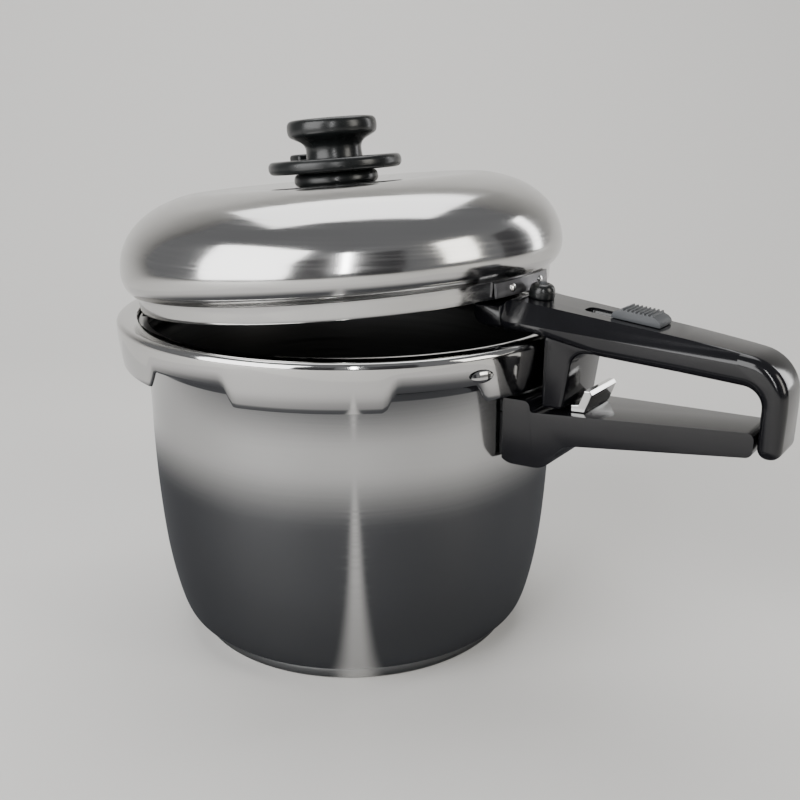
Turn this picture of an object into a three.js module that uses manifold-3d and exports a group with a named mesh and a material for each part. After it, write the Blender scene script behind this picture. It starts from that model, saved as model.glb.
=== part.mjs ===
// Stovetop pressure cooker, millimetres, +Z up.
// Origin: centre of the base's underside. The handles point along +X.
// The lid is drawn ajar: tucked into the mouth at -X and held up by its handle's post at +X.
import * as THREE from 'three';
import Module from 'manifold-3d';
import { mergeVertices } from 'three/addons/utils/BufferGeometryUtils.js';

const wasm = await Module();
wasm.setup();

const TURN = Math.PI / 180;
const ROUND = 72;

// Pan
const BODY_R = 110;
const WALL = 1.5;
const BASE_R = 90;
const BASE_T = 6.9;
// Lower corner of the body: radius, and height above its underside
const CORNER = [
  [90, 0.1], [94, 1.3], [97.5, 4.4], [100, 9.9], [102.4, 18.9], [104.8, 30.9], [106.8, 44.9],
  [108.4, 62.9], [109.5, 82.9], [BODY_R, 104.9],
];
const MOUTH_R = 114.3;
const COLLAR_R = 125;
const COLLAR_TOP = 177.7;
const TAB_BOTTOM = 154;
const NOTCH_TOP = 162.6;
const NOTCHES = [[34, 10.5], [91, 12], [150.5, 12.5]];
const LUG_COUNT = 6;

// Lid, in its own frame: height 0 is the band's lower edge
const LID_TILT = 5.47 * TURN;
const LID_X = -3.6;
const LID_Z = 186.1;
const BAND_R = 109.9;
const BULGE_R = 117.6;
const DOME_TOP = 55.5;

// Handles
const BAR_X = 107.5;
const BAR_Z = 195.5;
const SEAM_X = 225.5;
const TIP_X = 224.5;
const END_X = 236;
const CAP_U = 7.9;
const SLIDER_U = 61.5;
const SLIDER_NEAR = -14.5;
const SLIDER_FAR = 9;
const SLIDER_RIBS = 7;

const group = new THREE.Group();

// ---------- helpers ----------

// Merges vertices and drops the faces that collapse, such as those on a turned solid's axis
function clean(geometry) {
  const g = geometry.clone();
  g.deleteAttribute('normal');
  g.deleteAttribute('uv');
  const merged = mergeVertices(g, 1e-4);
  const kept = [];
  const index = merged.index.array;
  for (let i = 0; i < index.length; i += 3) {
    const [a, b, c] = [index[i], index[i + 1], index[i + 2]];
    if (a !== b && b !== c && c !== a) {
      kept.push(a, b, c);
    }
  }
  merged.setIndex(kept);
  return merged;
}

function toSolid(geometry) {
  const g = clean(geometry);
  const mesh = new wasm.Mesh({
    numProp: 3,
    vertProperties: new Float32Array(g.attributes.position.array),
    triVerts: new Uint32Array(g.index.array),
  });
  return new wasm.Manifold(mesh);
}

function toGeometry(solid) {
  const mesh = solid.getMesh();
  const g = new THREE.BufferGeometry();
  g.setAttribute('position', new THREE.BufferAttribute(new Float32Array(mesh.vertProperties), 3));
  g.setIndex(new THREE.BufferAttribute(new Uint32Array(mesh.triVerts), 1));
  return g;
}

function join(first, ...rest) {
  return toGeometry(rest.reduce((a, b) => a.add(toSolid(b)), toSolid(first)));
}

function cut(first, ...rest) {
  return toGeometry(rest.reduce((a, b) => a.subtract(toSolid(b)), toSolid(first)));
}

// Turned solid about Z from [radius, height] points
function turned(points, segments = ROUND) {
  const profile = points.map(([r, z]) => new THREE.Vector2(r, z));
  const first = points[0];
  const last = points[points.length - 1];
  const onAxis = first[0] === 0 && last[0] === 0;
  if (!onAxis) {
    profile.push(profile[0].clone());
  }
  const g = new THREE.LatheGeometry(profile, segments);
  g.rotateX(Math.PI / 2);
  return outward(g);
}

// Flips a closed geometry whose faces look inward
function outward(geometry) {
  const g = clean(geometry);
  const p = g.attributes.position;
  const index = g.index.array;
  const a = new THREE.Vector3();
  const b = new THREE.Vector3();
  const c = new THREE.Vector3();
  let volume = 0;
  for (let i = 0; i < index.length; i += 3) {
    a.fromBufferAttribute(p, index[i]);
    b.fromBufferAttribute(p, index[i + 1]);
    c.fromBufferAttribute(p, index[i + 2]);
    volume += a.dot(b.cross(c));
  }
  if (volume < 0) {
    for (let i = 0; i < index.length; i += 3) {
      const swap = index[i];
      index[i] = index[i + 1];
      index[i + 1] = swap;
    }
  }
  return g;
}

// Ring sector: radii, heights and half angle about a centre direction
function sector(r0, r1, z0, z1, centre, half, steps = 8) {
  const shape = new THREE.Shape();
  for (let i = 0; i <= steps; i += 1) {
    const angle = (centre - half + (2 * half * i) / steps) * TURN;
    const x = r1 * Math.cos(angle);
    const y = r1 * Math.sin(angle);
    if (i === 0) {
      shape.moveTo(x, y);
    } else {
      shape.lineTo(x, y);
    }
  }
  for (let i = steps; i >= 0; i -= 1) {
    const angle = (centre - half + (2 * half * i) / steps) * TURN;
    shape.lineTo(r0 * Math.cos(angle), r0 * Math.sin(angle));
  }
  const g = new THREE.ExtrudeGeometry(shape, { depth: z1 - z0, bevelEnabled: false });
  g.translate(0, 0, z0);
  return g;
}

// Closed outline in X and Z, given width across Y, edges rounded by bevel
function slab(shape, width, bevel, curveSegments = 6) {
  const g = new THREE.ExtrudeGeometry(shape, {
    depth: width - 2 * bevel,
    bevelEnabled: bevel > 0,
    bevelThickness: bevel,
    bevelSize: bevel,
    bevelOffset: -bevel,
    bevelSegments: 2,
    curveSegments,
  });
  g.translate(0, 0, -(width - 2 * bevel) / 2);
  g.rotateX(Math.PI / 2);
  return g;
}

// Narrows a geometry across Y in proportion to X
function taper(geometry, xWide, xNarrow, ratio) {
  const p = geometry.attributes.position;
  for (let i = 0; i < p.count; i += 1) {
    const t = (p.getX(i) - xWide) / (xNarrow - xWide);
    p.setY(i, p.getY(i) * (1 + (ratio - 1) * t));
  }
  return geometry;
}

function outline(points) {
  const shape = new THREE.Shape();
  shape.moveTo(points[0][0], points[0][1]);
  for (const [x, z] of points.slice(1)) {
    shape.lineTo(x, z);
  }
  return shape;
}

// Moves a geometry from the lid's own frame to its ajar place
function onLid(geometry) {
  geometry.rotateY(-LID_TILT);
  geometry.translate(LID_X, 0, LID_Z);
  return geometry;
}

// Moves a geometry from the upper bar's frame (X along its top, Z out of it)
function onBar(geometry) {
  geometry.rotateY(LID_TILT);
  geometry.translate(BAR_X, 0, BAR_Z);
  return geometry;
}

function piece(name, geometry, color, roughness, metalness) {
  const g = clean(geometry);
  g.computeVertexNormals();
  const material = new THREE.MeshStandardMaterial({ color, roughness, metalness });
  const mesh = new THREE.Mesh(g, material);
  mesh.name = name;
  group.add(mesh);
}

const STEEL = [0xc9cbcd, 0.18, 1];
const ALUMINIUM = [0xb4b6b8, 0.45, 1];
const BLACK = [0x101113, 0.28, 0];
const GREY = [0x2c2e30, 0.5, 0];
const RUBBER = [0x0a0a0b, 0.8, 0];

// ---------- pan ----------

// The same [radius, height] points moved inwards by the wall's thickness
function inset(points) {
  const last = points.length - 1;
  return points.map(([r, z], i) => {
    const [r0, z0] = points[Math.max(i - 1, 0)];
    const [r1, z1] = points[Math.min(i + 1, last)];
    const length = Math.hypot(r1 - r0, z1 - z0);
    return [r - (WALL * (z1 - z0)) / length, z + (WALL * (r1 - r0)) / length];
  });
}

function panBody() {
  const low = BASE_T + 0.2;
  const corner = CORNER.map(([r, h]) => [r, low + h]);
  const outer = [[0, low], ...corner];
  outer.push([BODY_R, 155], [111.5, 158.5], [114.2, 161.5], [115.2, 165], [115.2, 174.8]);
  const inner = [[113.7, 174.8], [113.7, 165.5], [112.9, 162.6], [110.2, 159.6], [108.5, 156]];
  inner.push(...inset(corner).reverse(), [0, low + WALL]);
  return turned([...outer, ...inner], 64);
}

function baseCap() {
  return turned([
    [0, 0], [BASE_R - 2.4, 0], [BASE_R - 0.7, 0.7], [BASE_R, 2.2], [BASE_R, BASE_T - 0.4],
    [BASE_R - 1, BASE_T - 0.4], [BASE_R - 1, 2.4], [BASE_R - 2.4, 1], [0, 1],
  ]);
}

function baseCore() {
  return turned([
    [0, 1.1], [BASE_R - 2.6, 1.1], [BASE_R - 1.2, 2.6], [BASE_R - 1.2, BASE_T - 0.6],
    [BASE_R - 2.2, BASE_T], [0, BASE_T],
  ]);
}

function notch(centre, half) {
  const width = 2 * 124 * Math.sin(half * TURN);
  const height = NOTCH_TOP - TAB_BOTTOM;
  const r = 4;
  const s = new THREE.Shape();
  s.moveTo(-width / 2 - r, -6);
  s.lineTo(width / 2 + r, -6);
  s.lineTo(width / 2 + r, 0);
  s.quadraticCurveTo(width / 2, 0, width / 2, r);
  s.quadraticCurveTo(width / 2, height, width / 2 - r, height);
  s.lineTo(-width / 2 + r, height);
  s.quadraticCurveTo(-width / 2, height, -width / 2, r);
  s.quadraticCurveTo(-width / 2, 0, -width / 2 - r, 0);
  const g = new THREE.ExtrudeGeometry(s, { depth: 24, bevelEnabled: false, curveSegments: 4 });
  g.rotateX(Math.PI / 2);
  g.rotateZ(-Math.PI / 2);
  g.translate(132, 0, TAB_BOTTOM);
  g.rotateZ(centre * TURN);
  return outward(g);
}

function collar() {
  const ring = turned([
    [MOUTH_R, 175.3], [MOUTH_R, 177.1], [115, COLLAR_TOP], [122.6, COLLAR_TOP],
    [124.3, 177.1], [COLLAR_R, 175.6], [COLLAR_R, 172], [124.3, 163], [122.8, TAB_BOTTOM],
    [121.2, TAB_BOTTOM], [122.7, 163], [123.4, 172], [123.2, 175], [122, 175.6], [116.6, 175.6],
  ], 90);
  const notches = [];
  for (const [angle, half] of NOTCHES) {
    notches.push(notch(angle, half), notch(-angle, half));
  }
  return cut(ring, ...notches);
}

function bayonetRing() {
  const ring = turned([[112.3, 167], [113.4, 167], [113.4, 175.1], [112.3, 175.1]], 80);
  const lugs = [];
  for (let i = 0; i < LUG_COUNT; i += 1) {
    lugs.push(sector(109.2, 112.8, 172.6, 175.1, i * 60, 15));
  }
  return join(ring, ...lugs);
}

function collarBoss(side) {
  const g = new THREE.SphereGeometry(1, 16, 10);
  g.scale(2.1, 6.6, 3.4);
  g.translate(124.2, 0, 0);
  g.rotateZ(side * 24.3 * TURN);
  g.translate(0, 0, 167);
  const bore = turned([[0, 150], [COLLAR_R + 0.15, 150], [COLLAR_R + 0.15, 180], [0, 180]], 120);
  return cut(g, bore);
}

function panBracket() {
  return join(
    sector(110.2, 111.8, 120, 147, 0, 11),
    sector(111.2, 118, 131, 134, 0, 3.8),
  );
}

function panHandle() {
  const s = new THREE.Shape();
  s.moveTo(100, 149.5);
  s.lineTo(120.4, 149.5);
  s.quadraticCurveTo(123, 149.5, 123, 146.9);
  s.quadraticCurveTo(123.2, 144.2, 126, 144.2);
  s.lineTo(TIP_X - 2.6, 150.4);
  s.quadraticCurveTo(TIP_X, 150.6, TIP_X, 148);
  s.lineTo(TIP_X, 142.2);
  s.quadraticCurveTo(TIP_X, 139.9, TIP_X - 2.6, 139.6);
  s.lineTo(148, 131.2);
  s.quadraticCurveTo(139.5, 130, 137, 125.4);
  s.quadraticCurveTo(133.6, 117.2, 124, 117);
  s.lineTo(116, 117);
  s.quadraticCurveTo(108.5, 117.6, 107, 125);
  s.lineTo(100, 130);
  const bar = taper(slab(s, 48, 1), 108, 224, 0.52);
  const wall = turned([[0, 90], [112.1, 90], [112.1, 170], [0, 170]], 120);
  const socket = new THREE.BoxGeometry(14, 17, 3.8);
  socket.translate(112, 0, 132.5);
  const pinHole = new THREE.CylinderGeometry(4.4, 4.4, 12, 20);
  pinHole.rotateX(Math.PI / 2);
  pinHole.translate(131.5, 0, 144);
  return cut(bar, wall, socket, pinHole);
}

function strikePlate() {
  const s = outline([
    [140.2, 145.6], [147.2, 146.1], [150.4, 155.2], [149.2, 156.8], [146.6, 156.6], [143.8, 149.4],
    [140.2, 148.8],
  ]);
  return slab(s, 28, 0.4);
}

function handleScrew(x, y, z) {
  const head = new THREE.CylinderGeometry(3.4, 2.8, 1.6, 20);
  head.rotateX(Math.PI / 2);
  const slot = new THREE.BoxGeometry(5, 0.9, 1);
  slot.translate(0, 0, -0.8);
  const g = cut(head, slot);
  g.translate(x, y, z);
  return g;
}

function buildPan() {
  piece('pan_body', panBody(), ...STEEL);
  piece('base_core', baseCore(), ...ALUMINIUM);
  piece('base_cap', baseCap(), ...STEEL);
  piece('collar', collar(), ...STEEL);
  piece('bayonet_ring', bayonetRing(), ...STEEL);
  piece('collar_boss_front', collarBoss(-1), ...STEEL);
  piece('collar_boss_back', collarBoss(1), ...STEEL);
  piece('pan_bracket', panBracket(), ...STEEL);
  piece('pan_handle', panHandle(), ...BLACK);
  piece('pan_handle_screw_1', handleScrew(120, 11, 116), ...STEEL);
  piece('pan_handle_screw_2', handleScrew(120, -11, 116), ...STEEL);
  piece('strike_plate', strikePlate(), ...STEEL);
}

// ---------- lid ----------

function lidShell() {
  const outer = [
    [BAND_R, 0], [110.7, 8.2], [113.2, 9.4], [116.2, 13.4], [BULGE_R, 18.6], [117.3, 25],
    [115.4, 32], [111.6, 39], [106, 45], [98.6, 50.2], [90, 54], [81, 56.6], [72, 57.6],
    [60, 57.5], [46, 56.8], [32, 56], [22, DOME_TOP], [6.2, DOME_TOP],
  ];
  const inner = [
    [6.2, 54.1], [22.1, 54.1], [32.1, 54.6], [46.1, 55.4], [60.1, 56.1], [72, 56.2],
    [80.6, 55.2], [89.4, 52.6], [97.8, 48.9], [104.9, 44], [110.3, 38.2], [114, 31.5],
    [115.8, 24.8], [116.1, 18.6], [114.8, 14], [112.2, 10.6], [109.4, 9.4], [108.7, 0],
  ];
  return turned([...outer, ...inner], 64);
}

function sealRetainer() {
  const ring = turned([[97, 6.4], [108.2, 6.4], [108.2, 7.9], [97, 7.9]], 72);
  const tabs = [];
  for (let i = 0; i < LUG_COUNT; i += 1) {
    tabs.push(sector(95.2, 97.4, 0.8, 7.9, i * 60 + 30, 6, 4));
  }
  return join(ring, ...tabs);
}

function sealingRing() {
  return turned([
    [98, 0.3], [107.9, 0.3], [107.9, 6], [106, 6], [105, 2.4], [100.8, 2.4], [99.8, 6], [98, 6],
  ], 72);
}

function lidBracket() {
  return sector(110.95, 112.3, 0.6, 7.6, 0, 13);
}

function bracketRivet(side) {
  const g = new THREE.SphereGeometry(1, 14, 8);
  g.scale(1.2, 2.1, 2.1);
  g.translate(112.4, 0, 4.2);
  g.rotateZ(side * 7 * TURN);
  const bore = turned([[0, -4], [112.4, -4], [112.4, 12], [0, 12]], 120);
  return cut(g, bore);
}

// Wedge that takes off one long top edge of the upper bar, less towards the tip
function chamfer(side) {
  const corners = [
    [-8, 15, 0.2], [-8, 23.4, -11], [-8, 30, 6], [108, 10.6, 0.4], [108, 15.4, -6], [108, 24, 6],
  ];
  const wedge = wasm.Manifold.hull(corners.map(([u, v, w]) => [u, side * v, w]));
  return onBar(toGeometry(wedge));
}

function lidHandle() {
  const s = new THREE.Shape();
  s.moveTo(103.2, 184);
  s.lineTo(103.8, 190);
  s.quadraticCurveTo(104.2, 195.6, BAR_X, BAR_Z);
  s.lineTo(190, BAR_Z - (190 - BAR_X) * Math.tan(LID_TILT));
  s.quadraticCurveTo(204, 186.2, 211, 185.2);
  s.quadraticCurveTo(END_X, 181.6, END_X, 160);
  s.quadraticCurveTo(END_X, 139.4, 228.2, 139.4);
  s.quadraticCurveTo(SEAM_X, 139.4, SEAM_X, 142);
  s.lineTo(SEAM_X, 161.6);
  s.quadraticCurveTo(SEAM_X, 169.8, 214, 170.3);
  s.lineTo(190, 172.4);
  s.lineTo(152, 174.6);
  s.lineTo(120, 181.3);
  s.lineTo(106, 181.3);
  s.quadraticCurveTo(103.2, 181.3, 103.2, 184);
  const bar = taper(slab(s, 44, 1), 104, 240, 0.58);
  const edges = [chamfer(-1), chamfer(1)];
  const post = new THREE.Shape();
  post.moveTo(126.5, 146.2);
  post.lineTo(126.4, 183);
  post.lineTo(152, 183);
  post.lineTo(152, 175.4);
  post.quadraticCurveTo(142.4, 174.4, 140.2, 168);
  post.lineTo(136.9, 148.4);
  post.quadraticCurveTo(136.6, 146.8, 134.4, 146.7);
  const column = slab(post, 36, 1);
  const slot = new THREE.BoxGeometry(38, 9.6, 8);
  slot.translate(51, 0, 0);
  onBar(slot);
  const bore = new THREE.CylinderGeometry(3.3, 3.3, 26, 20);
  bore.rotateX(Math.PI / 2);
  bore.translate(131.5, 0, 158);
  const well = new THREE.CylinderGeometry(2.5, 2.5, 9, 16);
  well.rotateX(Math.PI / 2);
  well.translate(CAP_U, 0, -3.5);
  onBar(well);
  return cut(join(bar, column), slot, bore, well, ...edges);
}

function handleFoot() {
  const s = new THREE.Shape();
  s.moveTo(87, 192);
  s.lineTo(87, 187);
  s.quadraticCurveTo(87.4, 181.4, 93, 181.2);
  s.lineTo(102.8, 181.2);
  s.lineTo(102.8, 192.6);
  return slab(s, 32, 1.6);
}

function ventPipe() {
  return turned([
    [1.5, 44.5], [4.4, 44.5], [4.4, 55.8], [8, 55.8], [8, 57.2], [4.4, 57.4], [4.4, 67.3],
    [3.6, 68.1], [1.5, 68.1],
  ], 24);
}

function ventNut() {
  const nut = new THREE.CylinderGeometry(8, 8, 5, 6);
  nut.rotateX(Math.PI / 2);
  nut.translate(0, 0, 49.9);
  const hole = new THREE.CylinderGeometry(4.6, 4.6, 8, 24);
  hole.rotateX(Math.PI / 2);
  hole.translate(0, 0, 49.9);
  return cut(nut, hole);
}

function ventWasher() {
  return turned([[4.6, 52.6], [9, 52.6], [9, 53.8], [4.6, 53.8]], 32);
}

function indicatorHousing() {
  return onBar(turned([
    [2.5, 0.1], [5.9, 0.1], [6.2, 0.9], [6.1, 4.2], [5.4, 6], [4.2, 6.9], [2.5, 7.2],
  ], 32).translate(CAP_U, 0, 0));
}

function buildLid() {
  piece('lid_shell', onLid(lidShell()), ...STEEL);
  piece('seal_retainer', onLid(sealRetainer()), ...STEEL);
  piece('sealing_ring', onLid(sealingRing()), ...RUBBER);
  piece('lid_bracket', onLid(lidBracket()), ...STEEL);
  piece('lid_bracket_rivet_1', onLid(bracketRivet(1)), ...STEEL);
  piece('lid_bracket_rivet_2', onLid(bracketRivet(-1)), ...STEEL);
  piece('lid_handle', lidHandle(), ...BLACK);
  piece('lid_handle_foot', handleFoot(), ...BLACK);
  piece('lid_handle_screw_1', handleScrew(94.5, 8, 180.2), ...STEEL);
  piece('lid_handle_screw_2', handleScrew(94.5, -8, 180.2), ...STEEL);
  piece('vent_pipe', onLid(ventPipe()), ...STEEL);
  piece('vent_nut', onLid(ventNut()), ...STEEL);
  piece('vent_washer', onLid(ventWasher()), ...RUBBER);
  piece('indicator_housing', indicatorHousing(), ...BLACK);
}

// ---------- lock slider and pins ----------

function lockSlider() {
  const s = new THREE.Shape();
  const middle = (SLIDER_NEAR + SLIDER_FAR) / 2;
  s.moveTo(SLIDER_NEAR, 0.3);
  s.lineTo(SLIDER_NEAR, 1.6);
  s.quadraticCurveTo(SLIDER_NEAR + 1, 4.6, SLIDER_NEAR + 5, 5);
  for (let i = 0; i < SLIDER_RIBS; i += 1) {
    const x = middle + (i - (SLIDER_RIBS - 1) / 2) * 2;
    s.lineTo(x - 0.55, 5);
    s.lineTo(x - 0.35, 5.8);
    s.lineTo(x + 0.35, 5.8);
    s.lineTo(x + 0.55, 5);
  }
  s.lineTo(SLIDER_FAR - 5, 5);
  s.quadraticCurveTo(SLIDER_FAR - 1, 4.6, SLIDER_FAR, 1.6);
  s.lineTo(SLIDER_FAR, 0.3);
  const top = new THREE.ExtrudeGeometry(s, { depth: 14, bevelEnabled: false, curveSegments: 4 });
  top.translate(0, 0, -7);
  top.rotateX(Math.PI / 2);
  const stem = new THREE.BoxGeometry(16, 9, 3);
  stem.translate(0, 0, -0.9);
  const hole = new THREE.CylinderGeometry(1.6, 1.6, 6, 16);
  hole.rotateX(Math.PI / 2);
  hole.translate(0, 0, -1.2);
  const g = cut(join(outward(top), stem), hole);
  g.translate(SLIDER_U, 0, 0);
  return onBar(g);
}

function sliderPlate() {
  const plate = new THREE.BoxGeometry(15, 8.8, 0.8);
  plate.translate(0, 0, -2.95);
  const hole = new THREE.CylinderGeometry(1.6, 1.6, 3, 16);
  hole.rotateX(Math.PI / 2);
  hole.translate(0, 0, -2.95);
  const g = cut(plate, hole);
  g.translate(SLIDER_U, 0, 0);
  return onBar(g);
}

function sliderScrew() {
  return onBar(turned([[0, -3.2], [1.45, -3.2], [1.45, 1.4], [0, 1.4]], 16).translate(SLIDER_U, 0, 0));
}

function lockPin() {
  return turned([
    [0, 145.4], [1.8, 145.4], [3, 146.6], [3, 163], [0, 163],
  ], 24).translate(131.5, 0, 0);
}

function indicatorPin() {
  return onBar(turned([
    [0, -6], [2.2, -6], [2.2, 7.3], [1.6, 8], [0, 8.2],
  ], 20).translate(CAP_U, 0, 0));
}

function buildControls() {
  piece('lock_slider', lockSlider(), ...GREY);
  piece('slider_plate', sliderPlate(), ...STEEL);
  piece('slider_screw', sliderScrew(), ...STEEL);
  piece('lock_pin', lockPin(), ...STEEL);
  piece('indicator_pin', indicatorPin(), ...GREY);
}

// ---------- pressure weight ----------

function weightKnob() {
  return turned([
    [0, 75], [9.3, 75], [9.3, 62.9], [14.9, 62.9], [14.9, 70.2], [15.8, 70.3], [14.9, 73],
    [15.2, 76], [17, 78.4], [20.4, 80.2], [22.9, 81.8], [23.7, 84], [23.6, 87.4],
    [22.4, 89.5], [19.4, 90.1], [15.6, 89.3], [0, 88.8],
  ], 56);
}

function weightCore() {
  return turned([[5, 62.9], [9, 62.9], [9, 74.6], [5, 74.6]], 40);
}

function weightBase() {
  return turned([
    [9.2, 55.9], [19.8, 55.9], [21.8, 56.7], [22.4, 58.6], [22, 60.8], [20.2, 62.6],
    [5.2, 62.6], [5.2, 58], [9.2, 58],
  ], 56);
}

function selectorRing() {
  const ring = turned([
    [15.2, 62.9], [33, 62.9], [34.8, 63.8], [35.4, 66.4], [34.8, 69], [33, 69.9], [15.2, 69.9],
  ], 64);
  const pointer = new THREE.BoxGeometry(11, 10, 8);
  pointer.translate(33.4, 0, 69);
  pointer.rotateZ(162 * TURN);
  return join(ring, pointer);
}

function buildWeight() {
  piece('weight_knob', onLid(weightKnob()), ...BLACK);
  piece('weight_core', onLid(weightCore()), ...STEEL);
  piece('weight_base', onLid(weightBase()), ...BLACK);
  piece('selector_ring', onLid(selectorRing()), ...BLACK);
}

buildPan();
buildLid();
buildControls();
buildWeight();

export default group;
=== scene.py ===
# %% [markdown]
# # A stovetop pressure cooker
#
# This notebook gives a pressure cooker its looks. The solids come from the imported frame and
# say where everything is. What shows most is rebuilt here with more care: the turned steel, the
# collar, the moulded handles and the knob. The small steel parts stay as they are and only
# get better finishes.

# %% Load the frame
import bpy
import math
from mathutils import Matrix, Vector


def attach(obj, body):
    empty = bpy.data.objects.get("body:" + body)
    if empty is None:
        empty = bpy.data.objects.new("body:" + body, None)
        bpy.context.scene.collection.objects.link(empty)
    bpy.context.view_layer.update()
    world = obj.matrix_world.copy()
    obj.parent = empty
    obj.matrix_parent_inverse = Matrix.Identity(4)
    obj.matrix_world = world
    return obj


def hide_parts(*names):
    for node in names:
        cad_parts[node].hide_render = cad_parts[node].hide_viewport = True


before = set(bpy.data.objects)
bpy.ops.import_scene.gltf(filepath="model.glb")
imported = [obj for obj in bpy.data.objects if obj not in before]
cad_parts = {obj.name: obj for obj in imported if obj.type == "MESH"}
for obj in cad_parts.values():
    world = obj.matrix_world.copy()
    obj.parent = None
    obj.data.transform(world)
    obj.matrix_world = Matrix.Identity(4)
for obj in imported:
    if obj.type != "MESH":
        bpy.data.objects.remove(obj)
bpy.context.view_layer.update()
MM = 0.001

# %% [markdown]
# ## The view
#
# A camera a little over half a metre away, held above the rim and looking slightly down, sees
# the cooker as a person at a worktop does. That close, the walls seem to lean in towards the
# base, so distance and lens are set together.

# %% Camera
SIDE = math.radians(38)
DISTANCE = 0.540
EYE = Vector((math.sin(SIDE) * DISTANCE, -math.cos(SIDE) * DISTANCE, 0.2897))
HEADING = SIDE + math.radians(90 - 2.8)
PITCH = math.radians(17.2)

bpy.ops.object.camera_add(location=EYE)
camera = bpy.context.active_object
camera.name = "camera"
level = math.cos(PITCH)
gaze = Vector((math.cos(HEADING) * level, math.sin(HEADING) * level, -math.sin(PITCH)))
camera.rotation_mode = "QUATERNION"
camera.rotation_quaternion = gaze.to_track_quat("-Z", "Y")
camera.data.lens = 45
camera.data.sensor_width = 36
camera.data.clip_start = 0.01
camera.data.clip_end = 50
bpy.context.scene.camera = camera
print("camera at", [round(v, 3) for v in EYE])

# %% [markdown]
# ## The main sizes
#
# The same driving sizes as the solids, in millimetres. The lid stands ajar: its own axis leans
# by about five and a half degrees, so each lid piece is turned upright first, then placed.

# %% Sizes
BODY_R = 110
BASE_T = 6.9
TAB_BOTTOM = 154
LID_TILT = math.radians(5.47)
LID_PLACE = Matrix.Translation(Vector((-3.6, 0, 186.1)) * MM) @ Matrix.Rotation(-LID_TILT, 4, "Y")
BAR_PLACE = Matrix.Translation(Vector((107.5, 0, 195.5)) * MM) @ Matrix.Rotation(LID_TILT, 4, "Y")
PIN_X = 131.5
SLIDER_U = 61.5
CAP_U = 7.9
print("lid axis leans", round(math.degrees(LID_TILT), 2), "degrees")

# %% [markdown]
# ## Small helpers
#
# Every operator acts on what is selected, so each helper starts by clearing the selection.
# `settle` leaves a finished piece at the origin, unturned and unscaled, with its place in
# its mesh, and shades it smooth except at true edges.


# %% Selecting and settling
def clear():
    if bpy.context.mode != "OBJECT":
        bpy.ops.object.mode_set(mode="OBJECT")
    bpy.ops.object.select_all(action="DESELECT")


def only(obj):
    clear()
    obj.select_set(True)
    bpy.context.view_layer.objects.active = obj


def apply(obj, kind, **settings):
    only(obj)
    modifier = obj.modifiers.new(kind.title(), kind)
    for key, value in settings.items():
        setattr(modifier, key, value)
    bpy.ops.object.modifier_apply(modifier=modifier.name)


def tidy_faces(obj):
    only(obj)
    bpy.ops.object.mode_set(mode="EDIT")
    bpy.ops.mesh.select_all(action="SELECT")
    bpy.ops.mesh.remove_doubles(threshold=0.000002)
    bpy.ops.mesh.normals_make_consistent(inside=False)
    bpy.ops.object.mode_set(mode="OBJECT")


def settle(obj, place=None, angle=32):
    only(obj)
    if place is not None:
        obj.matrix_world = place @ obj.matrix_world
    bpy.ops.object.transform_apply(location=True, rotation=True, scale=True)
    bpy.ops.object.shade_smooth_by_angle(angle=math.radians(angle))
    print(obj.name, len(obj.data.polygons), "faces")


# %% [markdown]
# ## Turned shapes
#
# Pans, lids and knobs are turned or spun about an axis. By hand this is one circle, extruded
# and scaled again and again up the profile. `spun` does just that: each profile point is one
# extrusion, moved and then resized. A spline through a few points gives the soft curves.


# %% Profiles and spinning
def curve_through(points, steps=6):
    """Catmull-Rom points through (radius, height) pairs."""
    ends = [points[0], *points, points[-1]]
    out = []
    for i in range(1, len(ends) - 2):
        p0, p1, p2, p3 = (Vector(ends[i + k]) for k in (-1, 0, 1, 2))
        for s in range(steps):
            t = s / steps
            q = 0.5 * (2 * p1 + (p2 - p0) * t + (2 * p0 - 5 * p1 + 4 * p2 - p3) * t**2
                       + (3 * p1 - p0 - 3 * p2 + p3) * t**3)
            out.append((q.x, q.y))
    out.append(points[-1])
    return out


def spun(name, profile, around=144):
    clear()
    first = profile[0]
    start = (0, 0, first[1] * MM)
    bpy.ops.mesh.primitive_circle_add(vertices=around, radius=first[0] * MM, location=start)
    obj = bpy.context.active_object
    obj.name = name
    bpy.ops.object.mode_set(mode="EDIT")
    bpy.ops.mesh.select_all(action="SELECT")
    radius, height = first
    for r, z in profile[1:]:
        rise = (0, 0, (z - height) * MM)
        bpy.ops.mesh.extrude_region_move(TRANSFORM_OT_translate={"value": rise})
        if abs(r - radius) > 1e-6:
            bpy.ops.transform.resize(value=(r / radius, r / radius, 1))
        radius, height = r, z
    bpy.ops.object.mode_set(mode="OBJECT")
    bpy.ops.object.transform_apply(location=True)
    return obj


def spun_ring(name, profile, around=144):
    """A closed section that doesn't reach the axis."""
    obj = spun(name, [*profile, profile[0]], around)
    tidy_faces(obj)
    return obj


def spun_solid(name, profile, around=144):
    """A section that starts and ends near the axis; both ends are capped."""
    obj = spun(name, profile, around)
    only(obj)
    bpy.ops.object.mode_set(mode="EDIT")
    bpy.ops.mesh.select_all(action="SELECT")
    bpy.ops.mesh.fill_holes(sides=0)
    bpy.ops.object.mode_set(mode="OBJECT")
    tidy_faces(obj)
    return obj


# %% [markdown]
# ## The pan
#
# The pan is drawn from one disc of stainless steel: a straight wall, a big soft lower corner
# and a step out at the top that makes the mouth. Its wall has thickness, so the profile goes
# up the outside, over the rim and down the inside. The wall leans in early and gently, then
# turns under quickly just above the base.

# %% Pan wall
LOW = BASE_T + 0.2
WALL = 1.5


def inset(points, depth):
    """The same profile moved inwards by a thickness."""
    out = []
    for i, (r, z) in enumerate(points):
        (r0, z0), (r1, z1) = points[max(i - 1, 0)], points[min(i + 1, len(points) - 1)]
        length = math.hypot(r1 - r0, z1 - z0)
        out.append((r - depth * (z1 - z0) / length, z + depth * (r1 - r0) / length))
    return out


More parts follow.
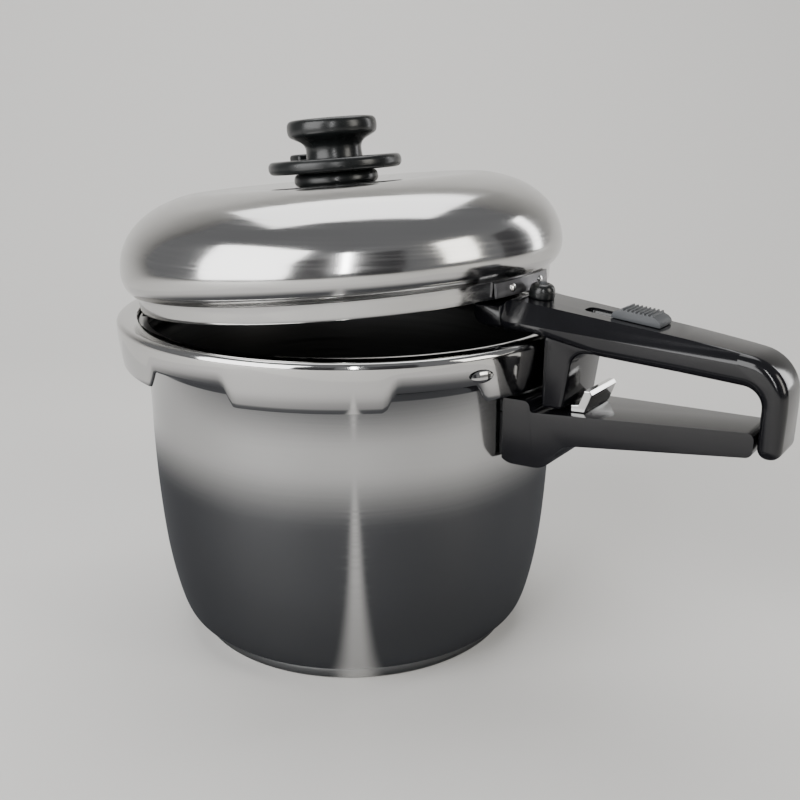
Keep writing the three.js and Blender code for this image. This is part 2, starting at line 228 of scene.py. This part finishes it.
corner = curve_through([(86, LOW), (90, LOW + 0.1), (94, LOW + 1.3), (97.5, LOW + 4.4), (100, LOW + 9.9),
                        (102.4, LOW + 18.9), (104.8, LOW + 30.9), (106.8, LOW + 44.9), (108.4, LOW + 62.9),
                        (109.5, LOW + 82.9), (BODY_R, LOW + 104.9), (BODY_R, 130)], 5)
step = curve_through([(BODY_R, 155), (111.5, 158.5), (114.2, 161.5), (115.2, 165)], 4)
rim = [(115.2, 174.3), (114.9, 174.7), (114, 174.7), (113.7, 174.3)]
inner_step = curve_through([(113.7, 165.5), (112.9, 162.6), (110.2, 159.6), (108.5, 156)], 4)
outside = [(0.5, LOW), (40, LOW), *corner, *step, *rim]
inside = [*inner_step, *reversed(inset(corner, WALL)), (40, LOW + WALL), (0.5, LOW + WALL)]
pan_wall = spun_solid("pan_wall", [*outside, *inside], 180)
settle(pan_wall)
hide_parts("pan_body")
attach(pan_wall, "pan")

# %% [markdown]
# ## The base
#
# A thick aluminium disc spreads the heat and a thin steel cap closes it in. From outside only
# the cap's rounded edge shows, as a bright line at the foot of the pan.

# %% Base cap
base_outside = [(0.5, 0), (60, 0), (87.4, 0), (88.8, 0.35), (89.6, 1.2), (90, 2.4), (90, 5.6), (89.8, 6.3)]
base_lip = [(89.4, 6.5), (89.05, 6.3)]
base_inside = [(89, 5.6), (89, 2.6), (88.6, 1.6), (87.6, 1.05), (60, 1.0), (0.5, 1.0)]
base_shell = spun_solid("base_shell", [*base_outside, *base_lip, *base_inside], 160)
settle(base_shell)
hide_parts("base_cap")
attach(base_shell, "pan")

# %% [markdown]
# ## The collar
#
# The deep polished collar is one pressing: a flat top, a rounded shoulder and a skirt that
# leans in. The skirt hangs lower in wide tabs, with soft S-shaped steps between them. The
# ring is spun with a full skirt, then the lower rows are lifted between the tabs, which keeps
# the metal's thickness and lets the steps flow.

# %% Collar ring
collar_top = [(114.3, 175.4), (114.3, 176.8), (114.6, 177.4), (115.3, 177.7), (119, 177.7), (122.4, 177.65),
              (123.6, 177.3), (124.5, 176.5), (124.9, 175.4), (124.95, 174)]
skirt_outside = [(124.8, 171), (124.6, 168), (124.3, 165), (124, 162), (123.6, 159), (123.2, 156.5),
                 (122.9, 154.7), (122.6, 154.05), (122, TAB_BOTTOM)]
skirt_inside = [(121.6, 154.6), (121.9, 156.5), (122.3, 159), (122.6, 162), (122.9, 165), (123.2, 168),
                (123.4, 171), (123.3, 174), (122.6, 175.3), (120, 175.5)]
collar = spun_ring("polished_collar", [*collar_top, *skirt_outside, *skirt_inside], 360)
NOTCHES = ((34, 10.5), (91, 12), (150.5, 12.5))
LIFT = 8.6
SHOULDER = 172
CORNER_TURN = 1.3
CORNER_SPREAD = 2.9


def lifted(angle):
    """How far the skirt's edge is lifted at this angle, in millimetres."""
    best = 0
    for centre, half in NOTCHES:
        for middle in (centre, -centre):
            off = abs((angle - middle + 180) % 360 - 180)
            t = max(0.0, min(1.0, (half + CORNER_TURN - off) / CORNER_SPREAD))
            best = max(best, LIFT * t * t * (3 - 2 * t))
    return best


for vertex in collar.data.vertices:
    z = vertex.co.z / MM
    if z < SHOULDER:
        rise = lifted(math.degrees(math.atan2(vertex.co.y, vertex.co.x)))
        vertex.co.z += rise * (SHOULDER - z) / (SHOULDER - TAB_BOTTOM) * MM
settle(collar, angle=40)
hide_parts("collar")
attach(collar, "pan")

# %% [markdown]
# ## The lid
#
# The lid is a shallow dome whose side bulges out past its own lower band, like a cushion. The
# band below is what drops into the mouth. A spline through the dome's section keeps the
# curvature smooth, which matters because polished steel shows every facet.

# %% Lid shell
dome = curve_through([(113.2, 9.4), (116.2, 13.4), (117.6, 18.8), (117.3, 25), (115.4, 32), (111.6, 39),
                      (106, 45), (98.6, 50.2), (90, 54), (81, 56.6), (72, 57.6), (60, 57.5), (46, 56.8),
                      (32, 56), (22, 55.5), (6.4, 55.5)], 5)
under = curve_through([(6.2, 54.1), (22.1, 54.1), (32.1, 54.6), (46.1, 55.4), (60.1, 56.1), (72, 56.2),
                       (80.6, 55.2), (89.4, 52.6), (97.8, 48.9), (104.9, 44), (110.3, 38.2), (114, 31.5),
                       (115.8, 24.8), (116.1, 18.8), (114.9, 14.2), (112.3, 10.8)], 3)
band_outside = [(109.2, 0.1), (109.7, 0.3), (109.95, 0.9), (110.1, 2), (110.4, 5), (110.65, 7.6),
                (110.9, 8.5), (111.7, 9)]
band_inside = [(109.6, 9.6), (109.1, 8.6), (108.8, 1), (108.9, 0.3)]
lid_shell = spun_ring("domed_lid", [*band_outside, *dome, *under, *band_inside], 200)
settle(lid_shell, LID_PLACE)
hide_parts("lid_shell")
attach(lid_shell, "lid")

# %% [markdown]
# ## The seal
#
# A black silicone ring sits inside the band. Its section is a shallow channel that steam
# pushes open against the wall, and its edges are rounded by the mould.

# %% Sealing ring
seal_section = curve_through([(98.2, 0.9), (99, 0.35), (103, 0.3), (107, 0.35), (107.8, 0.9), (107.9, 3.5),
                              (107.7, 5.7), (106.9, 6), (106.1, 5.6), (105.4, 3.2), (104.6, 2.4), (101.2, 2.4),
                              (100.4, 3.2), (99.6, 5.7), (98.9, 6), (98.2, 5.6), (98, 3.2)], 2)
seal = spun_ring("silicone_seal", seal_section[:-1], 160)
settle(seal, LID_PLACE, 50)
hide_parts("sealing_ring")
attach(seal, "seal")

# %% [markdown]
# ## Moulded handles
#
# Both handles are thick phenolic mouldings that are the same shape all the way across, only
# narrower towards the end. So each is drawn as a flat outline, extruded to its width, tapered,
# and its long edges are rounded with one wide bevel. The upper bar then gets its post, and a
# slanting wedge takes each long top edge off, which leaves the broad facet along its side.


# %% Outlines
def bend(points, steps=7):
    """Outline points; a triple (x, z, r) is a corner rounded with radius r."""
    out = []
    count = len(points)
    for i, point in enumerate(points):
        if len(point) == 2:
            out.append(point)
            continue
        here = Vector(point[:2])
        before = (Vector(points[i - 1][:2]) - here).normalized()
        after = (Vector(points[(i + 1) % count][:2]) - here).normalized()
        half = before.angle(after) / 2
        reach = point[2] / math.tan(half)
        start, end = here + before * reach, here + after * reach
        centre = here + (before + after).normalized() * (point[2] / math.sin(half))
        a0 = math.atan2(start.y - centre.y, start.x - centre.x)
        a1 = math.atan2(end.y - centre.y, end.x - centre.x)
        sweep = (a1 - a0 + math.pi) % (2 * math.pi) - math.pi
        for s in range(steps + 1):
            a = a0 + sweep * s / steps
            out.append((centre.x + point[2] * math.cos(a), centre.y + point[2] * math.sin(a)))
    return out


def moulding(name, outline, width):
    clear()
    bpy.ops.mesh.primitive_circle_add(vertices=len(outline), radius=0.05, fill_type="NGON")
    obj = bpy.context.active_object
    obj.name = name
    for vertex, (x, z) in zip(obj.data.vertices, outline):
        vertex.co = Vector((x, -width / 2, z)) * MM
    bpy.ops.object.mode_set(mode="EDIT")
    bpy.ops.mesh.select_all(action="SELECT")
    bpy.ops.mesh.extrude_region_move(TRANSFORM_OT_translate={"value": (0, width * MM, 0)})
    bpy.ops.object.mode_set(mode="OBJECT")
    tidy_faces(obj)
    return obj


def narrow(obj, x_wide, x_narrow, ratio):
    for vertex in obj.data.vertices:
        t = (vertex.co.x / MM - x_wide) / (x_narrow - x_wide)
        vertex.co.y *= 1 + (ratio - 1) * t


def soften(obj, width, segments, angle=50):
    """Rounds the edges sharper than an angle in degrees, with a width in millimetres."""
    limit = math.radians(angle)
    apply(obj, "BEVEL", width=width * MM, segments=segments, limit_method="ANGLE", angle_limit=limit)


def carve(obj, cutter):
    apply(obj, "BOOLEAN", operation="DIFFERENCE", object=cutter, solver="EXACT")
    bpy.data.objects.remove(cutter, do_unlink=True)


def weld(obj, other):
    apply(obj, "BOOLEAN", operation="UNION", object=other, solver="EXACT")
    bpy.data.objects.remove(other, do_unlink=True)


def block(size, place, middle):
    clear()
    bpy.ops.mesh.primitive_cube_add(size=1)
    obj = bpy.context.active_object
    scale = Matrix.Diagonal((*(Vector(size) * MM), 1))
    obj.matrix_world = place @ Matrix.Translation(Vector(middle) * MM) @ scale
    bpy.ops.object.transform_apply(location=True, rotation=True, scale=True)
    return obj


def rod(radius, length, place, middle, around=48):
    clear()
    bpy.ops.mesh.primitive_cylinder_add(vertices=around, radius=radius * MM, depth=length * MM)
    obj = bpy.context.active_object
    obj.matrix_world = place @ Matrix.Translation(Vector(middle) * MM)
    bpy.ops.object.transform_apply(location=True, rotation=True, scale=True)
    return obj


# %% Upper handle
def wedge(corners, side):
    """A three-sided prism between two ends, three corners each, mirrored across Y by side."""
    clear()
    bpy.ops.mesh.primitive_cylinder_add(vertices=3, radius=0.01, depth=0.01)
    obj = bpy.context.active_object
    low = [v for v in obj.data.vertices if v.co.z < 0]
    high = [v for v in obj.data.vertices if v.co.z > 0]
    for vertex, (u, v, w) in zip([*low, *high], corners):
        vertex.co = BAR_PLACE @ (Vector((u, side * v, w)) * MM)
    tidy_faces(obj)
    return obj


bar_outline = bend([
    (103.2, 181.3, 4.8), (103.6, 195.9, 4.8), (190, 187.6, 60), (214, 184.8, 40), (235.6, 181.8, 19),
    (236.2, 160, 60), (235.8, 139.6, 4.9), (225.5, 139.4, 4.8), (225.5, 169.8, 9), (190, 172.4, 60),
    (152, 174.6, 60), (120, 181.3, 40)], 10)
post_outline = bend([
    (126.4, 184), (126.4, 146.2, 1.7), (137.2, 146.8, 1.7), (141, 175.2, 8), (152, 175.2), (152, 184)], 8)
upper = moulding("upper_handle", bar_outline, 44)
narrow(upper, 104, 240, 0.58)
soften(upper, 4.6, 6)
post = moulding("post", post_outline, 36)
soften(post, 1.6, 3)
weld(upper, post)
CHAMFER = ((-8, 15, 0.2), (-8, 23.4, -11), (-8, 30, 6), (108, 10.6, 0.4), (108, 15.4, -6), (108, 24, 6))
carve(upper, wedge(CHAMFER, 1))
carve(upper, wedge(CHAMFER, -1))
slot_cut = block((38, 9.6, 8), BAR_PLACE, (51, 0, 0))
soften(slot_cut, 3, 4, 60)
carve(upper, slot_cut)
carve(upper, rod(3.3, 26, Matrix(), (PIN_X, 0, 158)))
carve(upper, rod(2.5, 9, BAR_PLACE, (CAP_U, 0, -3.5)))
settle(upper)
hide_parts("lid_handle")
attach(upper, "lid")

# %% Lower handle
lower_outline = bend([
    (100, 149.5), (122.8, 149.5, 3.2), (123.2, 144.2, 1.6), (224.5, 150.9, 3.2), (224.5, 139.8, 3.2),
    (146, 131, 16), (137.6, 129.2, 9), (134.2, 117, 11), (107.2, 116.8, 9), (106, 130), (100, 131)], 8)
lower = moulding("lower_handle", lower_outline, 48)
narrow(lower, 108, 224, 0.52)
soften(lower, 3, 5)
carve(lower, rod(112.1, 90, Matrix(), (0, 0, 130), 240))
carve(lower, block((14, 17, 3.8), Matrix(), (112, 0, 132.5)))
carve(lower, rod(4.4, 12, Matrix(), (PIN_X, 0, 144)))
settle(lower)
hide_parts("pan_handle")
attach(lower, "pan")

# %% Foot of the upper handle
foot_outline = bend([(87, 192.2, 2), (87, 181.3, 6), (102.8, 181.2, 1.5), (102.8, 192.6, 1.5)], 6)
foot = moulding("handle_foot", foot_outline, 32)
soften(foot, 2.4, 3)
settle(foot)
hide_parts("lid_handle_foot")
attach(foot, "lid")

# %% [markdown]
# ## The lock slider
#
# The slider is a small domed button with cross ribs for the thumb. Its outline carries the ribs,
# so one extrusion gives them all, and a small bevel softens what the mould would soften.

# %% Ribbed slider
RIBS = 8
PITCH_MM = 2.0
SLIDER_WIDTH = 14
DROOP = 0.25
RIB_MIDDLE = -2.75
slider_outline = [(-14.5, 0.3), (-14.5, 1.8), (-13.9, 3.1), (-12.6, 4.1), (-10.6, 4.7)]
for i in range(RIBS):
    x = RIB_MIDDLE + (i - (RIBS - 1) / 2) * PITCH_MM
    slider_outline += [(x - 0.62, 4.75), (x - 0.34, 5.75), (x + 0.34, 5.75), (x + 0.62, 4.75)]
slider_outline += [(5.1, 4.7), (7.1, 4.1), (8.4, 3.1), (9, 1.8), (9, 0.3)]
slider = moulding("ribbed_slider", slider_outline, SLIDER_WIDTH)
for vertex in slider.data.vertices:
    edge = abs(vertex.co.y) / (SLIDER_WIDTH / 2 * MM)
    if vertex.co.z > 2.5 * MM:
        vertex.co.z -= DROOP * MM * edge
soften(slider, 0.35, 2, 40)
weld(slider, block((16, 9, 3), Matrix(), (0, 0, -0.9)))
carve(slider, rod(1.6, 6, Matrix(), (0, 0, -1.2), 24))
settle(slider, BAR_PLACE @ Matrix.Translation(Vector((SLIDER_U, 0, 0)) * MM))
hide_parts("lock_slider")
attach(slider, "slider")

# %% [markdown]
# ## The knob and its discs
#
# The weight is a stack of turned plastic: a cap with a shallow dished top, a waisted neck, the
# wide selector ring with its pointer, and a thick lower disc. Rounded rims catch thin
# highlights, so each rim has its own small arc of points.

# %% Weight knob
cap = curve_through([(15, 70.3), (14.7, 73), (15, 76), (16.8, 78.4), (20.2, 80.2), (22.8, 81.8),
                     (23.6, 83.8), (23.7, 86.4), (23.2, 88.6), (21.8, 89.8), (19.4, 90.1), (17.2, 89.5),
                     (14, 89), (8, 88.8)], 4)
neck = [(0.4, 75), (9.3, 75), (9.3, 63), (14.6, 62.9), (14.9, 63.3)]
knob = spun_solid("weight_knob_cap", [*neck, *cap, (0.4, 88.8)], 96)
settle(knob, LID_PLACE)
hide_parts("weight_knob")
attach(knob, "weight")

# %% Lower disc
disc_rim = curve_through([(19.4, 55.9), (21.2, 56.4), (22.2, 57.8), (22.4, 59.4), (22, 61.2), (21, 62.3),
                          (19.6, 62.6)], 4)
disc_section = [(9.3, 55.95), *disc_rim, (5.4, 62.6), (5.25, 62.4), (5.25, 58.1), (9.2, 58)]
lower_disc = spun_ring("weight_lower_disc", disc_section, 96)
settle(lower_disc, LID_PLACE)
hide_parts("weight_base")
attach(lower_disc, "weight")

# %% Selector ring
POINTER_ANGLE = math.radians(162)
ring_rim = curve_through([(32.4, 62.95), (34.2, 63.5), (35.2, 64.9), (35.4, 66.4), (35.2, 68), (34.2, 69.4),
                          (32.6, 69.9)], 4)
ring_bore = [(15.4, 69.9), (15.25, 69.7), (15.25, 63.1)]
selector = spun_ring("selector_disc", [(15.4, 62.95), *ring_rim, *ring_bore], 112)
pointer = block((11, 10, 8), Matrix.Rotation(POINTER_ANGLE, 4, "Z"), (33.4, 0, 69))
soften(pointer, 1.6, 3)
weld(selector, pointer)
settle(selector, LID_PLACE)
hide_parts("selector_ring")
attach(selector, "selector")

# %% Indicator cap
cap_section = curve_through([(2.5, 0.15), (5.6, 0.1), (6.1, 0.6), (6.2, 1.6), (6.15, 3.6), (5.8, 5.2),
                             (5, 6.4), (3.9, 7), (3, 7.2), (2.5, 7.1)], 3)
indicator_cap = spun_ring("indicator_cap", cap_section, 64)
settle(indicator_cap, BAR_PLACE @ Matrix.Translation(Vector((CAP_U, 0, 0)) * MM))
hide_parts("indicator_housing")
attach(indicator_cap, "lid")

# %% [markdown]
# ## Finishes
#
# Stainless cookware is polished with belts that run round the piece. That leaves hair-fine
# lines round the axis, which smear reflections up and down. So the steel has a low roughness
# that varies in thin streaks, a faint matching bump, and a radial tangent that stretches the
# highlights. Phenolic plastic is almost black, glossy, with a faint ripple and light smudges.


# %% Node helpers
def finish(name):
    material = bpy.data.materials.new(name)
    material.use_nodes = True
    nodes = material.node_tree.nodes
    shader = nodes["Principled BSDF"]
    coordinates = nodes.new("ShaderNodeTexCoord")
    return material, nodes, material.node_tree.links, shader, coordinates


def noise(nodes, links, coordinates, stretch, scale, detail=3.0):
    mapping = nodes.new("ShaderNodeMapping")
    mapping.inputs["Scale"].default_value = stretch
    texture = nodes.new("ShaderNodeTexNoise")
    texture.inputs["Scale"].default_value = scale
    texture.inputs["Detail"].default_value = detail
    links.new(coordinates.outputs["Object"], mapping.inputs["Vector"])
    links.new(mapping.outputs["Vector"], texture.inputs["Vector"])
    return texture.outputs["Fac"]


def remap(nodes, links, source, low, high, start=0.3, end=0.7):
    node = nodes.new("ShaderNodeMapRange")
    node.inputs["From Min"].default_value = start
    node.inputs["From Max"].default_value = end
    node.inputs["To Min"].default_value = low
    node.inputs["To Max"].default_value = high
    links.new(source, node.inputs["Value"])
    return node.outputs["Result"]


def bump(nodes, links, source, shader, strength, distance):
    node = nodes.new("ShaderNodeBump")
    node.inputs["Strength"].default_value = strength
    node.inputs["Distance"].default_value = distance
    links.new(source, node.inputs["Height"])
    links.new(node.outputs["Normal"], shader.inputs["Normal"])


def tint(nodes, links, source, shader, dark, light):
    ramp = nodes.new("ShaderNodeValToRGB")
    ramp.color_ramp.elements[0].position = 0.3
    ramp.color_ramp.elements[0].color = (*dark, 1)
    ramp.color_ramp.elements[1].position = 0.7
    ramp.color_ramp.elements[1].color = (*light, 1)
    links.new(source, ramp.inputs["Fac"])
    links.new(ramp.outputs["Color"], shader.inputs["Base Color"])


# %% Polished and brushed steel
def steel(name, rough, shade, stretch=0.5, lines=900, relief=0.02):
    material, nodes, links, shader, coordinates = finish(name)
    shader.inputs["Metallic"].default_value = 1.0
    shader.inputs["Anisotropic"].default_value = stretch
    tangent = nodes.new("ShaderNodeTangent")
    tangent.direction_type = "RADIAL"
    tangent.axis = "Z"
    links.new(tangent.outputs["Tangent"], shader.inputs["Tangent"])
    fine = noise(nodes, links, coordinates, (0.02, 0.02, 1), lines)
    cloud = noise(nodes, links, coordinates, (1, 1, 1), 9, 4)
    links.new(remap(nodes, links, fine, rough * 0.75, rough * 1.3), shader.inputs["Roughness"])
    dark = tuple(v * 0.93 for v in shade)
    tint(nodes, links, cloud, shader, dark, shade)
    bump(nodes, links, fine, shader, relief, 0.0002)
    return material


# The pan wall's steel is darker than the lid's and collar's: painted shade, so the wall reads dark against the
# pale floor.
polished = steel("polished_stainless", 0.10, (0.50, 0.50, 0.495), 0.35, 900, 0.02)
collar_steel = steel("collar_stainless", 0.07, (0.60, 0.595, 0.585), 0.2, 700, 0.012)
lid_steel = steel("lid_stainless", 0.13, (0.58, 0.575, 0.565), 0.4, 900, 0.02)
# A dull finish, with a near-black colour that is painted shade for the gaps and insides.
shaded_inner_steel = steel("unpolished_inner_steel_painted_shade", 0.45, (0.10, 0.10, 0.10), 0.2, 500, 0.05)
satin = steel("satin_stainless", 0.32, (0.55, 0.55, 0.54), 0.3, 600, 0.06)
turned_steel = steel("turned_steel", 0.25, (0.58, 0.58, 0.57), 0.2, 500, 0.05)
bright_steel = steel("bright_screw_steel", 0.12, (0.70, 0.70, 0.69), 0.1, 500, 0.02)
dark_steel = steel("dark_bracket_steel", 0.34, (0.20, 0.20, 0.21), 0.2, 500, 0.05)
bare_aluminium = steel("bare_aluminium", 0.42, (0.62, 0.63, 0.64), 0.2, 400, 0.08)


# %% Black plastics and rubber
def plastic(name, shade, rough, ripple=0.08, grain=260):
    material, nodes, links, shader, coordinates = finish(name)
    smudge = noise(nodes, links, coordinates, (1, 1, 1), 28, 4)
    fine = noise(nodes, links, coordinates, (1, 1, 1), grain, 2)
    links.new(remap(nodes, links, smudge, rough * 0.8, rough * 1.45), shader.inputs["Roughness"])
    light = tuple(v * 1.5 for v in shade)
    tint(nodes, links, smudge, shader, shade, light)
    bump(nodes, links, fine, shader, ripple, 0.0002)
    return material


phenolic = plastic("glossy_black_phenolic", (0.004, 0.004, 0.005), 0.13, 0.05)
knob_black = plastic("satin_black_phenolic", (0.006, 0.007, 0.007), 0.26, 0.07)
slider_grey = plastic("satin_grey_plastic", (0.045, 0.048, 0.052), 0.42, 0.2, 700)
silicone = plastic("black_silicone", (0.010, 0.010, 0.010), 0.55, 0.25, 900)

# %% Put the finishes on
WEAR = {
    polished: (pan_wall,),
    collar_steel: (collar, "collar_boss_front", "collar_boss_back"),
    lid_steel: (lid_shell,),
    satin: (base_shell, "bayonet_ring", "seal_retainer"),
    bare_aluminium: ("base_core",),
    dark_steel: ("pan_bracket", "lid_bracket"),
    bright_steel: ("strike_plate", "pan_handle_screw_1", "pan_handle_screw_2", "lid_bracket_rivet_1",
                   "lid_bracket_rivet_2", "lid_handle_screw_1", "lid_handle_screw_2", "slider_screw"),
    turned_steel: ("vent_pipe", "vent_nut", "weight_core", "slider_plate", "lock_pin"),
    phenolic: (upper, lower, foot),
    knob_black: (knob, lower_disc, selector, indicator_cap),
    slider_grey: (slider, "indicator_pin"),
    silicone: (seal, "vent_washer"),
}
for material, wearers in WEAR.items():
    for wearer in wearers:
        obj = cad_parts[wearer] if isinstance(wearer, str) else wearer
        obj.data.materials.clear()
        obj.data.materials.append(material)
print(len(WEAR), "finishes")

# %% [markdown]
# The inside of the pan, the inside of the lid and the back of the collar are never polished
# like the outside. Their faces get a duller steel whose near-black colour is painted shade, for
# the gap under the collar and the inside of the pan where little light reaches. The faces are
# picked by height and by whether they look towards the axis, or on the lid towards a point in
# its middle.


# %% Inner faces
def second_finish(obj, material, wanted):
    obj.data.materials.append(material)
    count = 0
    for face in obj.data.polygons:
        outward = face.normal.x * face.center.x + face.normal.y * face.center.y
        if wanted(face.center.z / MM, outward, face):
            face.material_index = 1
            count += 1
    print(obj.name, count, "inner faces")


second_finish(collar, shaded_inner_steel, lambda z, outward, face: outward < 0 and z < 175.5)
second_finish(pan_wall, shaded_inner_steel, lambda z, outward, face: outward < 0 and z < 175)
lid_heart = LID_PLACE @ Vector((0, 0, 20 * MM))
second_finish(lid_shell, shaded_inner_steel, lambda z, outward, face: face.normal.dot(lid_heart - face.center) > 0)

# %% [markdown]
# ## Studio
#
# Steel only looks like steel when it has something to reflect. A pale sweep runs under and
# behind the cooker, one big soft light stands to the left, a narrow one near the camera gives
# the streak down the middle, and dark cards give the metal its contrast. One graded card lies
# just above the floor. Its colour is a painted reflection: dark near the cooker so the lower
# walls mirror dark, with a pale line down the middle that paints the bright streak. The camera
# sees none of the cards: they show only as reflections.


# %% Sweep
def matte(name, shade):
    material = bpy.data.materials.new(name)
    material.use_nodes = True
    shader = material.node_tree.nodes["Principled BSDF"]
    shader.inputs["Base Color"].default_value = (*shade, 1)
    shader.inputs["Roughness"].default_value = 0.75
    return material


TURN = Matrix.Rotation(SIDE, 4, "Z")

clear()
bpy.ops.mesh.primitive_plane_add(size=1)
sweep = bpy.context.active_object
sweep.name = "studio_sweep"
sweep.scale = (6, 3.4, 1)
bpy.ops.object.transform_apply(scale=True)
bpy.ops.object.mode_set(mode="EDIT")
bpy.ops.mesh.select_all(action="DESELECT")
bpy.ops.object.mode_set(mode="OBJECT")
for edge in sweep.data.edges:
    ends = [sweep.data.vertices[i].co.y for i in edge.vertices]
    edge.select = min(ends) > 1
bpy.ops.object.mode_set(mode="EDIT")
bpy.ops.mesh.select_mode(type="EDGE")
bpy.ops.mesh.extrude_region_move(TRANSFORM_OT_translate={"value": (0, 0, 3)})
bpy.ops.mesh.select_all(action="SELECT")
bpy.ops.mesh.normals_make_consistent(inside=False)
bpy.ops.object.mode_set(mode="OBJECT")
apply(sweep, "BEVEL", width=0.9, segments=16, limit_method="ANGLE")
settle(sweep, TURN @ Matrix.Translation((0, -0.2, -0.0004)), 60)
sweep.data.materials.append(matte("pale_sweep", (0.70, 0.69, 0.67)))


# %% Lights and cards
HEART = Vector((0, 0, 0.12))
DARK_WITHIN = 0.27
PALE_BEYOND = 0.44
LINE_HALF = 0.016
LINE_CORE = 0.002


def softbox(name, place, size, power, colour=(1, 1, 1)):
    clear()
    bpy.ops.object.light_add(type="AREA")
    light = bpy.context.active_object
    light.name = name
    spot = TURN @ Vector(place)
    light.location = spot
    light.rotation_mode = "QUATERNION"
    light.rotation_quaternion = (HEART - spot).to_track_quat("-Z", "Y")
    light.data.shape = "RECTANGLE"
    light.data.size, light.data.size_y = size
    light.data.energy = power
    light.data.color = colour


def card(name, place, size, shade):
    clear()
    bpy.ops.mesh.primitive_plane_add(size=1)
    obj = bpy.context.active_object
    obj.name = name
    spot = TURN @ Vector(place)
    look = (HEART - spot).to_track_quat("Z", "Y").to_matrix().to_4x4()
    obj.matrix_world = Matrix.Translation(spot) @ look @ Matrix.Diagonal((*size, 1, 1))
    bpy.ops.object.transform_apply(location=True, rotation=True, scale=True)
    obj.visible_camera = False
    obj.visible_shadow = False
    obj.data.materials.append(matte(name + "_paint", shade))


def graded_shade(name, dark, pale):
    """Painted reflection: dark close to the cooker, paler further out and along a soft line down the middle
    that paints the bright streak.
    """
    material = matte(name, dark)
    nodes, links = material.node_tree.nodes, material.node_tree.links
    place = nodes.new("ShaderNodeTexCoord")
    turn = nodes.new("ShaderNodeVectorRotate")
    turn.rotation_type = "Z_AXIS"
    turn.inputs["Angle"].default_value = -SIDE
    parts = nodes.new("ShaderNodeSeparateXYZ")
    links.new(place.outputs["Object"], turn.inputs["Vector"])
    links.new(turn.outputs["Vector"], parts.inputs["Vector"])
    fade = nodes.new("ShaderNodeMapRange")
    fade.interpolation_type = "SMOOTHSTEP"
    fade.inputs["From Min"].default_value = DARK_WITHIN
    fade.inputs["From Max"].default_value = PALE_BEYOND
    reach = nodes.new("ShaderNodeVectorMath")
    reach.operation = "LENGTH"
    links.new(place.outputs["Object"], reach.inputs[0])
    links.new(reach.outputs["Value"], fade.inputs["Value"])
    middle = nodes.new("ShaderNodeMath")
    middle.operation = "ABSOLUTE"
    links.new(parts.outputs["X"], middle.inputs[0])
    line = nodes.new("ShaderNodeMapRange")
    line.interpolation_type = "SMOOTHSTEP"
    line.inputs["From Min"].default_value = LINE_HALF
    line.inputs["From Max"].default_value = LINE_CORE
    links.new(middle.outputs["Value"], line.inputs["Value"])
    most = nodes.new("ShaderNodeMath")
    most.operation = "MAXIMUM"
    links.new(fade.outputs["Result"], most.inputs[0])
    links.new(line.outputs["Result"], most.inputs[1])
    blend = nodes.new("ShaderNodeMix")
    blend.data_type = "RGBA"
    blend.inputs["A"].default_value = (*dark, 1)
    blend.inputs["B"].default_value = (*pale, 1)
    links.new(most.outputs["Value"], blend.inputs["Factor"])
    links.new(blend.outputs["Result"], nodes["Principled BSDF"].inputs["Base Color"])
    return material


def floor_card(size, height, dark, pale):
    """A graded card just above the floor that only shows in what the steel reflects."""
    clear()
    bpy.ops.mesh.primitive_plane_add(size=size)
    obj = bpy.context.active_object
    obj.name = "floor_card"
    obj.matrix_world = TURN @ Matrix.Translation((0, 0, height))
    bpy.ops.object.transform_apply(location=True, rotation=True, scale=True)
    obj.visible_camera = False
    obj.visible_diffuse = False
    obj.visible_shadow = False
    obj.data.materials.append(graded_shade("floor_card_painted_reflection", dark, pale))


# Painted reflection: the card's dark middle and pale centre line show only in the steel.
floor_card(1, 0.0005, (0.05, 0.052, 0.058), (0.62, 0.61, 0.6))
softbox("key_left", (-1.3, -1.1, 0.8), (1.6, 1.5), 42)
softbox("near_streak", (0.01, -1.6, 0.7), (0.07, 0.9), 7)
softbox("fill_right", (1.5, -0.9, 0.75), (0.6, 1.0), 10, (1.0, 0.97, 0.90))
softbox("edge_right", (1.7, 0.7, 0.6), (0.25, 1.1), 5)
softbox("top_soft", (0.0, 0.5, 1.7), (1.6, 1.2), 20)
card("dark_card_front", (0.55, -1.75, 0.55), (0.75, 1.3), (0.03, 0.03, 0.035))
card("dark_card_left", (-0.55, -1.8, 0.5), (0.6, 1.2), (0.04, 0.04, 0.045))
card("dark_card_right", (1.9, 0.1, 0.5), (0.6, 1.2), (0.04, 0.04, 0.045))

world = bpy.data.worlds.new("studio_air")
bpy.context.scene.world = world
world.use_nodes = True
world.node_tree.nodes["Background"].inputs["Color"].default_value = (0.86, 0.87, 0.9, 1)
world.node_tree.nodes["Background"].inputs["Strength"].default_value = 0.25
print("studio ready")
